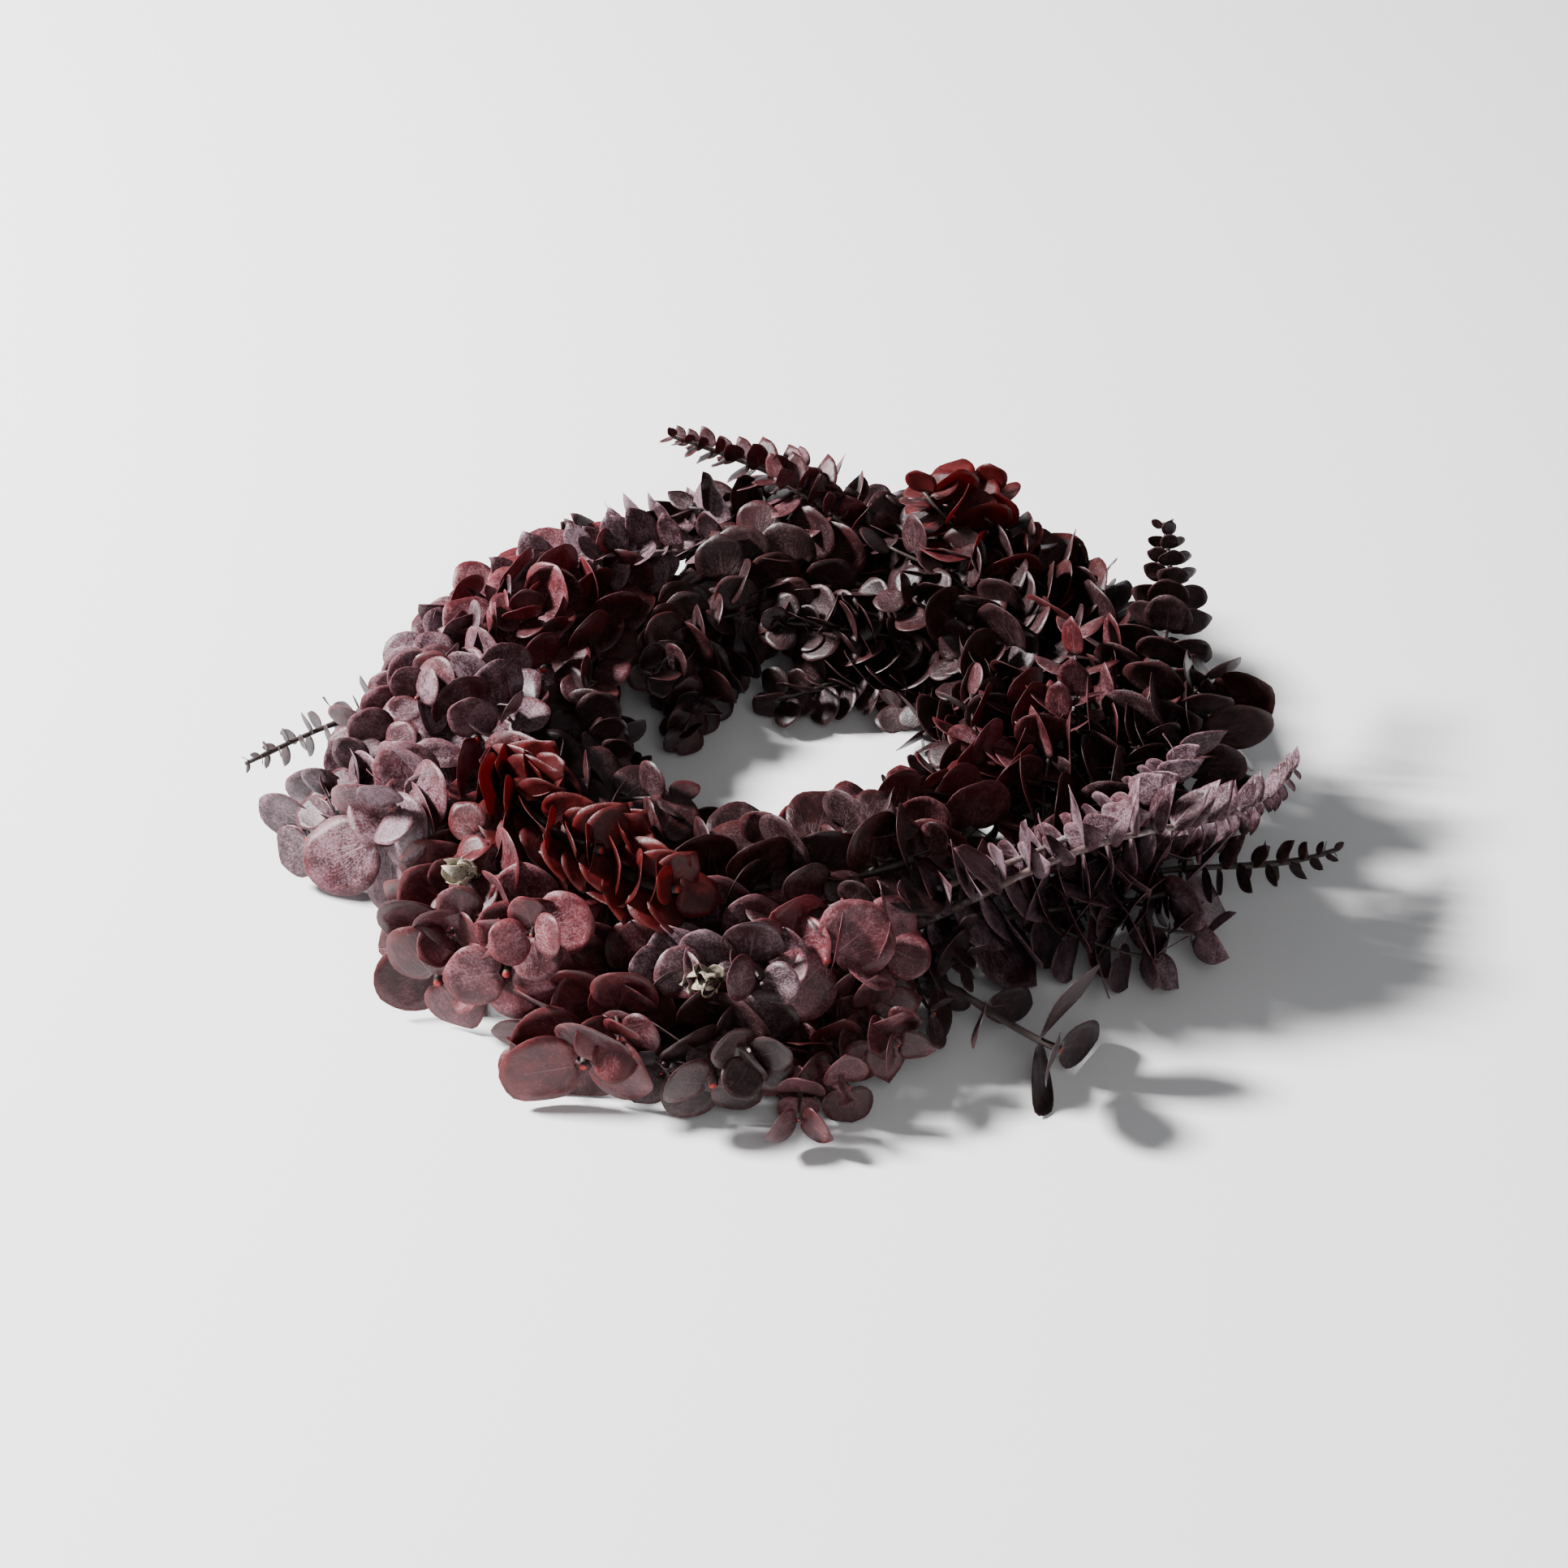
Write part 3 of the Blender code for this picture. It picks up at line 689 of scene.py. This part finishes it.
# %% Sprig table
Sprig = namedtuple(
    "Sprig", "name turn angle radius height arch leaf tip habit dye pale ruddy roll end"
)
# Sprigs with the "dark" dye carry painted shade in their colour: they sit inside, at the back and towards
# the right, where the wreath shades itself.
SPRIGS = [
    # outer side, low
    Sprig("outer_low_01", 0, 52, 0.186, 0.030, 0.005, 30, 20, "flat", "dark", 0.2, 0.2, 20, "bud"),
    Sprig("outer_low_02", 3, 94, 0.204, 0.0195, 0.005, 24, 16, "flat", "dark", 0.2, 0.2, 70, "bud"),
    Sprig("outer_low_03", 6, 145, 0.178, 0.022, 0.005, 26, 18, "slender", "dark", 0.3, 0.2, 10, "bud"),
    Sprig("left_tip", 11, 186, 0.239, 0.034, 0.004, 20, 4, "thin_tip", "dark", 0.4, 0.1, 80, "bud"),
    Sprig("outer_low_04", 12, 200, 0.218, 0.030, 0.005, 30, 26, "rosette", "lilac", 0.4, 0.2, 30, "cut"),
    Sprig("outer_low_05", 14, 229, 0.216, 0.026, 0.006, 33, 27, "rosette", "burgundy", 0.4, 0.5, 55, "cut"),
    Sprig("outer_low_06", 16, 249, 0.222, 0.0198, 0.006, 35, 32, "rosette", "burgundy", 0.3, 0.6, 10, "cut"),
    Sprig("outer_low_07", 17, 263, 0.222, 0.022, 0.006, 36, 22, "leafy", "dark", 0.6, 0.2, 40, "cut"),
    Sprig("outer_low_08", 18, 277, 0.220, 0.0185, 0.006, 29, 20, "hanging", "burgundy", 0.5, 0.3, 85, "cut"),
    Sprig("stray_twig", 19, 300, 0.228, 0.0205, 0.006, 26, 42, "twig", "dark", 0.2, 0.1, 20, "cut"),
    Sprig("outer_low_09", 20, 327, 0.206, 0.036, 0.006, 33, 28, "hanging", "lilac", 0.3, 0.2, 90, "bud"),
    Sprig("right_tip", 21, 341, 0.254, 0.032, 0.010, 22, 5, "thin_tip", "dark", 0.5, 0.2, 80, "bud"),
    # outer side, high
    Sprig("outer_high_01", 1, 62, 0.164, 0.046, 0.006, 35, 22, "leafy", "dark", 0.3, 0.6, 45, "cut"),
    Sprig("outer_high_02", 4, 110, 0.160, 0.044, 0.006, 30, 18, "slender", "dark", 0.4, 0.2, 0, "bud"),
    Sprig("outer_high_03", 7, 158, 0.160, 0.044, 0.006, 28, 26, "slender", "lilac", 0.5, 0.2, 60, "bud"),
    Sprig("outer_high_04", 9, 180, 0.165, 0.046, 0.008, 31, 20, "leafy", "lilac", 0.6, 0.3, 15, "cut"),
    Sprig("outer_high_05", 11, 195, 0.178, 0.058, 0.006, 30, 17, "rosette", "lilac", 0.6, 0.8, 50, "cut"),
    Sprig("outer_high_06", 13, 210, 0.198, 0.050, 0.006, 35, 33, "rosette", "lilac", 0.7, 0.6, 65, "cut"),
    Sprig("outer_high_07", 15, 227, 0.186, 0.062, 0.006, 36, 19, "leafy", "burgundy", 0.5, 0.7, 20, "dried"),
    Sprig("outer_high_08", 15, 238, 0.210, 0.044, 0.006, 32, 27, "rosette", "pink", 0.4, 0.5, 75, "cut"),
    Sprig("outer_high_09", 17, 261, 0.190, 0.050, 0.006, 35, 22, "leafy", "lilac", 0.4, 0.3, 10, "dried"),
    Sprig("outer_high_10", 18, 276, 0.184, 0.056, 0.006, 33, 30, "rosette", "pink", 0.6, 0.4, 50, "cut"),
    Sprig("right_long", 19, 347, 0.230, 0.054, 0.034, 31, 9, "ladder", "lilac", 0.6, 0.2, 85, "bud"),
    Sprig("outer_high_11", 21, 358, 0.196, 0.052, 0.008, 34, 29, "leafy", "dark", 0.5, 0.2, 30, "cut"),
    Sprig("upper_right_tip", 22, 383, 0.190, 0.096, 0.002, 30, 5, "stacked", "dark", 0.5, 0.1, 85, "bud"),
    # front of the ring
    Sprig("top_cluster", 2, 60, 0.148, 0.080, 0.004, 29, 20, "leafy", "backlit", 0.1, 0.7, 10, "cut"),
    Sprig("top_01", 1, 67, 0.136, 0.056, 0.008, 32, 22, "leafy", "dark", 0.3, 0.2, 60, "bud"),
    Sprig("upper_left_tip", 4, 110, 0.152, 0.100, 0.002, 24, 6, "drooping", "burgundy", 0.6, 0.3, 30, "bud"),
    Sprig("top_02", 6, 136, 0.140, 0.056, 0.006, 28, 14, "slender", "lilac", 0.6, 0.3, 70, "bud"),
    Sprig("top_03", 8, 165, 0.138, 0.056, 0.006, 34, 22, "leafy", "pink", 0.5, 0.5, 20, "cut"),
    Sprig("top_04", 11, 203, 0.142, 0.070, 0.006, 34, 22, "leafy", "lilac", 0.5, 0.4, 0, "cut"),
    Sprig("backlit_left", 13, 243, 0.160, 0.080, 0.014, 31, 20, "shingled", "backlit", 0.2, 0.6, 45, "cut"),
    Sprig("backlit_right", 15, 256, 0.170, 0.078, 0.012, 30, 18, "shingled", "backlit", 0.2, 0.7, 45, "cut"),
    Sprig("top_05", 16, 292, 0.146, 0.070, 0.006, 34, 26, "leafy", "dark", 0.5, 0.3, 85, "cut"),
    Sprig("top_06", 18, 336, 0.186, 0.080, 0.010, 31, 20, "ladder", "lilac", 0.6, 0.3, 40, "bud"),
    Sprig("top_07", 21, 366, 0.150, 0.066, 0.006, 30, 20, "slender", "burgundy", 0.5, 0.4, 10, "bud"),
    # inner side
    Sprig("inner_high_01", 0, 48, 0.108, 0.056, 0.004, 29, 21, "crest", "dark", 0.3, 0.2, 35, "cut"),
    Sprig("inner_high_02", 4, 107, 0.096, 0.050, 0.004, 31, 23, "crest", "dark", 0.3, 0.3, 65, "cut"),
    Sprig("inner_high_03", 8, 172, 0.108, 0.056, 0.004, 29, 21, "crest", "burgundy", 0.3, 0.2, 5, "cut"),
    Sprig("inner_high_04", 13, 246, 0.121, 0.060, 0.006, 29, 22, "leafy", "dark", 0.4, 0.4, 85, "cut"),
    Sprig("inner_high_05", 17, 305, 0.119, 0.058, 0.006, 29, 21, "crest", "burgundy", 0.4, 0.3, 75, "cut"),
    Sprig("inner_high_06", 20, 356, 0.108, 0.056, 0.004, 29, 21, "crest", "burgundy", 0.4, 0.3, 75, "cut"),
    Sprig("inner_low_01", 2, 69, 0.074, 0.025, 0.004, 27, 22, "inner", "dark", 0.2, 0.2, 30, "cut"),
    Sprig("inner_low_02", 6, 129, 0.074, 0.025, 0.004, 27, 22, "inner", "dark", 0.2, 0.4, 60, "cut"),
    Sprig("inner_low_03", 10, 192, 0.088, 0.030, 0.004, 27, 22, "inner", "dark", 0.2, 0.2, 45, "cut"),
    Sprig("inner_low_04", 14, 252, 0.088, 0.030, 0.004, 25, 20, "crest", "dark", 0.2, 0.3, 10, "cut"),
    Sprig("inner_low_05", 18, 312, 0.088, 0.030, 0.004, 27, 22, "inner", "dark", 0.3, 0.2, 75, "cut"),
    Sprig("inner_low_06", 22, 372, 0.088, 0.030, 0.004, 27, 22, "inner", "dark", 0.2, 0.2, 20, "cut"),
]
print("sprigs", len(SPRIGS))

# %% [markdown]
# ## Pairs of leaves
# Leaves stand in pairs on opposite sides of the stem, and each pair is mostly turned a quarter
# round from the one before, so that no pair shades the next. Towards a natural tip pairs get
# smaller and closer, and close into a bud. A trimmed sprig keeps full leaves up to the cut, and
# they open flat round its red wood. A little luck in every length and angle keeps it from looking
# stamped; each sprig has its own seed, so it grows the same way every time.

# %% Leaf pairs
MILLIMETRE = 0.001
STEM_BUTT = 0.0016
STEM_TIP = 0.0009
END_REACH = 0.0018
LAST_GAP = 0.003
ROLL_LUCK = 14
LEAN_LUCK = (-9, 12)
LENGTH_LUCK = (0.86, 1.08)
BUD_CLOSING = 30
CUT_OPENING = 0.8
UP = Vector((0, 0, 1))
OWN_DYE, DRIED_SLOT, BURGUNDY_SLOT = 0, 1, 2


def pair_shares(habit, line, first, leaf, tip):
    """Where the pairs of leaves stand along a stem, as shares of its length."""
    shares = []
    share = first
    last = 1 - END_REACH / line.length
    while share < last - LAST_GAP / line.length:
        shares.append(share)
        late = max(0.0, (share - 0.45) / 0.55)
        spacing = habit.gap * (1 + (max(0.33, tip / leaf * 0.9) - 1) * late) * MILLIMETRE
        share += spacing / line.length
    shares.append(last)
    return shares


def outward_from_core(place):
    """The way out of the bundle at a place: away from the middle of the bound core."""
    around = Vector((place.x, place.y, 0)).normalized()
    way = place - around * CORE_RADIUS - Vector((0, 0, CORE_HEIGHT * 0.7))
    return (way + Vector((0, 0, 0.01))).normalized()


def across_heading(heading):
    """Two ways at right angles to a heading: one level, one as upright as it can be."""
    level = heading.cross(UP).normalized()
    return level, level.cross(heading).normalized()


def leaf_looks(sprig, share, luck):
    """How pale and how red one leaf is, its own phase, and its finish."""
    pale = min(1, max(0, sprig.pale + luck.uniform(-0.4, 0.3)))
    ruddy = min(1, max(0, sprig.ruddy + luck.uniform(-0.35, 0.35)))
    shaded = sprig.dye == "backlit" and share < 0.5
    return pale, ruddy, luck.uniform(0, 6.28), BURGUNDY_SLOT if shaded else OWN_DYE


def grow_pair(leaves, sprig, line, share, roll, length, closing, luck):
    """Two leaves on opposite sides of a stem."""
    habit = HABITS[sprig.habit]
    place, heading = line.at(share), line.heading(share)
    level, upright = across_heading(heading)
    facing = heading * (1 - habit.turned) + outward_from_core(place) * habit.turned
    for half in (0, math.pi):
        way = level * math.cos(roll + half) + upright * math.sin(roll + half)
        lean = math.radians(habit.lean + luck.uniform(*LEAN_LUCK) + closing)
        out = way * math.cos(lean) + heading * math.sin(lean)
        own = length * luck.uniform(*LENGTH_LUCK)
        base = place + way * STEM_TIP * 0.8
        looks = leaf_looks(sprig, share, luck)
        bend = leaf_bend(luck)
        place_leaf(leaves, BLADES[habit.outline], base, out, facing, own, bend, looks)


def grow_leaves(leaves, sprig, line, shares, leaf, tip, natural, luck):
    """Pairs of leaves along one stem or side shoot."""
    habit = HABITS[sprig.habit]
    for number, share in enumerate(shares):
        turned = sprig.roll + habit.step * number + luck.uniform(-ROLL_LUCK, ROLL_LUCK)
        late = max(0.0, (share - 0.5) / 0.5)
        length = (leaf + (tip - leaf) * late**0.9) * MILLIMETRE
        closing = (BUD_CLOSING if natural else -habit.lean * CUT_OPENING) * late**5
        grow_pair(leaves, sprig, line, share, math.radians(turned), length, closing, luck)


print("pairs on a 100 mm stem", len(pair_shares(HABITS["leafy"], trial, 0.2, 30, 20)))

# %% [markdown]
# ## Side shoots and dried buds
# A bare row of pairs leaves gaps in a wreath. The real sprigs branch, and a branch soon runs
# beside its stem towards the light. A curve through three points gives that bend: out at the
# node, sideways, then ahead. Two sprigs at the front ended in flower buds, which dried to a bunch
# of small curled leaves; they are set in a spiral with the golden turn, as buds grow.

# %% Shoots and buds
SHOOT_LEAF, SHOOT_TIP_LEAF = 0.84, 0.5
SHOOT_STEPS = 16
SHOOT_LOWEST = 0.014
SHOOT_BOW = 0.006
SHOOT_LIFT = 0.011
SPREAD_LUCK = (0.65, 1.1)
BUD_LEAVES = 12
BUD_LEAF_LENGTHS = (0.007, 0.012)
GOLDEN_TURN = 2.4


def shoot_line(habit, line, bound, number, luck):
    """A side shoot: it leaves the stem at a node, bends away and then runs beside it."""
    room = habit.leafy_share - bound
    start = bound + room * (0.05 + 0.5 * number / max(1, habit.shoots))
    end = min(habit.leafy_share * 0.97, start + room * 0.5)
    root, goal = line.at(start), line.at(end)
    heading = line.heading(end)
    outward = outward_from_core(goal)
    side = heading.cross(outward).normalized() * (1 if number % 2 else -1)
    spread = habit.spread * MILLIMETRE * luck.uniform(*SPREAD_LUCK)
    ahead = habit.ahead * MILLIMETRE * (number + 1) / max(1, habit.shoots)
    goal = goal + side * spread + outward * luck.uniform(0.0, SHOOT_LIFT) + heading * ahead
    goal.z = max(goal.z, SHOOT_LOWEST)
    middle = root.lerp(goal, 0.5) + side * SHOOT_BOW
    steps = [step / SHOOT_STEPS for step in range(SHOOT_STEPS + 1)]
    return Line([root * (1 - at) ** 2 + middle * 2 * at * (1 - at) + goal * at**2 for at in steps])


def grow_shoots(sprig, leaves, stems, line, bound, luck):
    """The side shoots of a sprig."""
    habit = HABITS[sprig.habit]
    for number in range(habit.shoots):
        shoot = shoot_line(habit, line, bound, number, luck)
        leaf, small = sprig.leaf * SHOOT_LEAF, sprig.leaf * SHOOT_TIP_LEAF
        shares = pair_shares(habit, shoot, 0.3, leaf, small)
        grow_leaves(leaves, sprig, shoot, shares, leaf, small, True, luck)
        build_stem(stems, shoot, STEM_TIP, STEM_TIP * 0.8, shares, 6)


def grow_dried_bud(leaves, line, luck):
    """A bunch of small dried leaves that closes a tip."""
    place, heading = line.at(1), line.heading(1)
    level, upright = across_heading(heading)
    for number in range(BUD_LEAVES):
        turn = number * GOLDEN_TURN
        lean = math.radians(15 + 5.5 * number)
        way = level * math.cos(turn) + upright * math.sin(turn)
        out = way * math.cos(lean) + heading * math.sin(lean)
        base = place + heading * 0.0004 * number + way * 0.0006
        curl, twist = luck.uniform(0.2, 0.9), luck.uniform(-0.5, 0.5)
        bend = Bend(fold=0.5, cup=0.6, curl=curl, twist=twist, ripple=0.15)
        looks = (luck.uniform(0.3, 1), luck.uniform(0, 0.6), luck.uniform(0, 6.28), DRIED_SLOT)
        length = luck.uniform(*BUD_LEAF_LENGTHS)
        place_leaf(leaves, BLADES["oval"], base, out, heading, length, bend, looks)


print("a bud's leaves turn by", round(math.degrees(GOLDEN_TURN), 1), "degrees each")

# %% [markdown]
# ## Growing all the sprigs
# Each sprig becomes two pieces: its leaves, and its stem with the side shoots. They are apart
# because a leaf is a sheet and a stem is a rod. The sheets get their thickness from a Solidify
# modifier, which keeps the blade simple; the rods are closed solids already. The wood at a cut
# end is red, and a bud closes in bark.

# %% Growing
LEAF_THICKNESS = 0.0002
FIRST_SEED = 100


def new_leaves():
    """An empty mesh that can hold leaves with their attribute and flat map."""
    leaves = bmesh.new()
    leaves.verts.layers.float_vector.new("leaf")
    leaves.loops.layers.uv.new("blade")
    return leaves


def grow_sprig(sprig, seed):
    """One sprig: its stem, its side shoots and their leaves."""
    luck = random.Random(seed)
    points, bound = stem_line(sprig)
    line = Line(points)
    leaves = new_leaves()
    shares = pair_shares(HABITS[sprig.habit], line, bound * 0.8, sprig.leaf, sprig.tip)
    natural = sprig.end == "bud"
    grow_leaves(leaves, sprig, line, shares, sprig.leaf, sprig.tip, natural, luck)
    tip = STEM_TIP if natural else STEM_TIP * 1.7
    stems = build_stem(bmesh.new(), line, STEM_BUTT, tip, shares)
    grow_shoots(sprig, leaves, stems, line, bound, luck)
    if sprig.end == "dried":
        grow_dried_bud(leaves, line, luck)
    return leaves, stems


def dress_sprig(sprig, leaves, stems):
    """Make a sprig's two pieces, and count its leaves."""
    node = "sprig_" + sprig.name
    count = len(leaves.faces) // BLADE_SQUARES**2
    dyes = [LEAF_FINISHES[sprig.dye], DRIED, LEAF_FINISHES["burgundy"]]
    leafage = finished_piece(node + "_leaves", leaves, dyes, node)
    wall = leafage.modifiers.new("thickness", "SOLIDIFY")
    wall.thickness = LEAF_THICKNESS
    wall.offset = 0
    bark = STEM_PALE if sprig.pale >= 0.6 else STEM_DARK
    end = CUT_WOOD if sprig.end == "cut" else bark
    finished_piece(node + "_stem", stems, [bark, end], node)
    return count


total = 0
for number, sprig in enumerate(SPRIGS):
    total += dress_sprig(sprig, *grow_sprig(sprig, FIRST_SEED + number))
print("leaves", total)

# %% [markdown]
# ## Wire finishes
# The form is steel wire in dark green enamel, the paddle wire is thinner and greener, and the
# hanging loop is bare galvanised wire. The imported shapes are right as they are, so only their
# finish is made: one noise shows where the enamel is worn lighter and duller.

# %% Wire finishes
def wire_finish(name, colour, metallic, rough):
    """Enamelled or bare wire with wear."""
    made, tree, shader = new_finish(name)
    where = add(tree, "ShaderNodeTexCoord").outputs["Object"]
    wear = noise(tree, where, 300, 4, 0.65)
    red, green, blue, _ = tinted(colour, 2.2, 2.0, 2.2)
    worn = (min(1, red + 0.03), min(1, green + 0.03), min(1, blue + 0.03), 1)
    worn_places = fade(tree, wear, 0.55, 0.75)
    tree.links.new(mix(tree, worn_places, opaque(colour), worn), shader.inputs["Base Color"])
    roughness = fade(tree, wear, 0.3, 0.8, rough - 0.1, rough + 0.2)
    tree.links.new(roughness, shader.inputs["Roughness"])
    shader.inputs["Metallic"].default_value = metallic
    return made


def dress_node(name, finish):
    """Give a CAD node its finish."""
    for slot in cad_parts[name].material_slots:
        slot.material = finish


FORM_ENAMEL = wire_finish("form_enamel", (0.018, 0.04, 0.022), 0.0, 0.35)
PADDLE_ENAMEL = wire_finish("paddle_enamel", (0.03, 0.07, 0.035), 0.2, 0.35)
GALVANISED = wire_finish("galvanised_wire", (0.42, 0.42, 0.4), 1.0, 0.35)
form = [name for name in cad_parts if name.endswith("_rail") or name.startswith("cross_wire")]
for name in form:
    dress_node(name, FORM_ENAMEL)
dress_node("binding_wire", PADDLE_ENAMEL)
dress_node("hanger", GALVANISED)
print("wires dressed", form + ["binding_wire", "hanger"])
